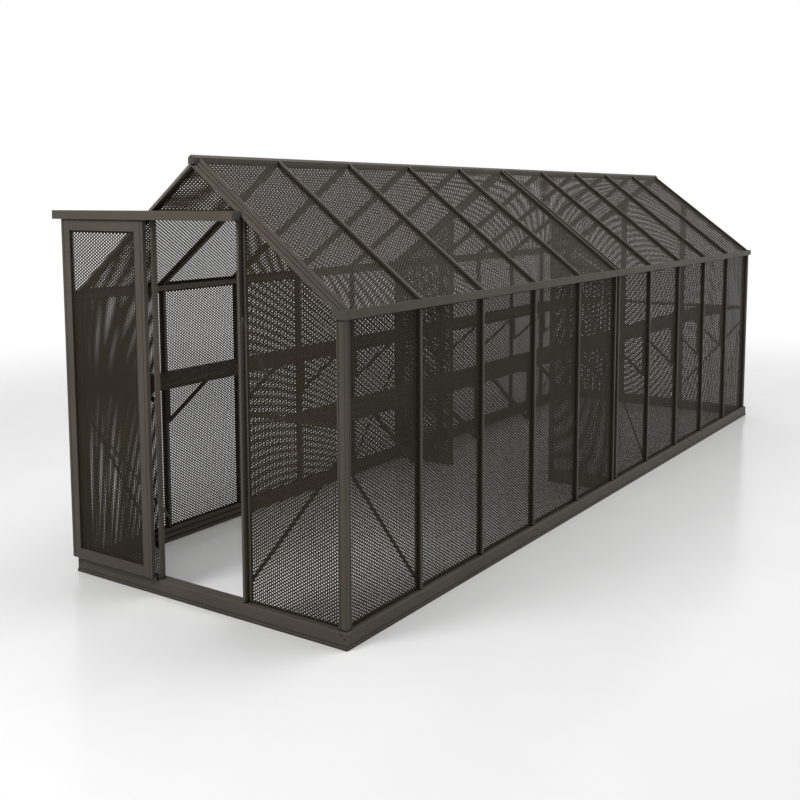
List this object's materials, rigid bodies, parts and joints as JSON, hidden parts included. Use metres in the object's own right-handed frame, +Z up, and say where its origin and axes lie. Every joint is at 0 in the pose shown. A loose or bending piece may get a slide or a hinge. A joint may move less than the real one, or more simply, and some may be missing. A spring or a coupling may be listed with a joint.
{
  "type": "shade house",
  "caption": "Walk-in gable-roofed shade house: metal bar frame clad in perforated sheet, with long shelves, a mid partition and a sliding door.",
  "frame": {"origin": "on the ground, at the middle of the four anchor holes in the base corners", "axes": "+X across the house, to the right seen from outside the front gable; +Y from the front gable with the door to the rear gable; +Z up"},
  "size_m": [1.924, 6.345, 2.262],
  "materials": {
    "bronze_coat": "satin powder coat",
    "perforated_sheet": "matt powder coat",
    "plated_steel": "zinc plated",
    "dark_screw": "blackened",
    "nylon": "moulded",
    "rubber": "matt",
    "dark_plastic": "fine grain"
  },
  "bodies": {
    "frame": {"base_corner_plates": "bronze_coat", "base_front_rail": "bronze_coat", "base_left_rails": "bronze_coat", "base_rear_rail": "bronze_coat", "base_right_rails": "bronze_coat", "base_screws": "dark_screw", "base_splices": "bronze_coat", "corner_post_front_left": "bronze_coat", "corner_post_front_right": "bronze_coat", "corner_post_rear_left": "bronze_coat", "corner_post_rear_right": "bronze_coat", "door_guide": "dark_plastic", "door_header": "bronze_coat", "door_jamb_left": "bronze_coat", "door_jamb_right": "bronze_coat", "door_track": "bronze_coat", "front_gable_rails": "bronze_coat", "front_gable_sheets": "perforated_sheet", "gable_braces": "bronze_coat", "gutter_end_caps": "dark_plastic", "gutter_joiners": "bronze_coat", "gutter_left": "bronze_coat", "gutter_right": "bronze_coat", "gutter_spouts": "dark_plastic", "mid_post_left": "bronze_coat", "mid_post_right": "bronze_coat", "mid_rafters": "bronze_coat", "mullions_left": "bronze_coat", "mullions_right": "bronze_coat", "partition_sheets": "perforated_sheet", "partition_sills": "bronze_coat", "partition_stiles": "bronze_coat", "rafters_left": "bronze_coat", "rafters_right": "bronze_coat", "rear_gable_rails": "bronze_coat", "rear_gable_sheets": "perforated_sheet", "rear_studs": "bronze_coat", "ridge_bars": "bronze_coat", "ridge_end_plates": "dark_plastic", "roof_sheets_left": "perforated_sheet", "roof_sheets_right": "perforated_sheet", "shelf_brackets_left": "bronze_coat", "shelf_brackets_right": "bronze_coat", "shelves_left": "perforated_sheet", "shelves_right": "perforated_sheet", "track_end_caps": "dark_plastic", "track_stops": "rubber", "verges_front": "bronze_coat", "verges_rear": "bronze_coat", "wall_braces": "bronze_coat", "wall_sheets_left": "perforated_sheet", "wall_sheets_right": "perforated_sheet"},
    "door": {"door_stiles": "bronze_coat", "door_top_rail": "bronze_coat", "door_bottom_rail": "bronze_coat", "door_sheet": "perforated_sheet", "door_hangers": "plated_steel", "roller_axles": "plated_steel"},
    "left_rollers": {"rollers_left": "nylon"},
    "right_rollers": {"rollers_right": "nylon"}
  },
  "joints": [
    {"name": "door_slide", "type": "slide", "parent": "frame", "child": "door", "axis": [1, 0, 0], "range_m": [0, 0.623]},
    {"name": "left_roller_spin", "type": "hinge", "parent": "door", "child": "left_rollers", "pos_m": [-0.826, -3.142, 1.9608], "axis": [0, 1, 0], "range_deg": [0, 2976]},
    {"name": "right_roller_spin", "type": "hinge", "parent": "door", "child": "right_rollers", "pos_m": [-0.42, -3.142, 1.9608], "axis": [0, 1, 0], "range_deg": [0, 2976]}
  ],
  "couplings": [
    {"joint": "left_roller_spin", "follows": "door_slide", "rad_per_m": 83.333},
    {"joint": "right_roller_spin", "follows": "door_slide", "rad_per_m": 83.333}
  ]
}
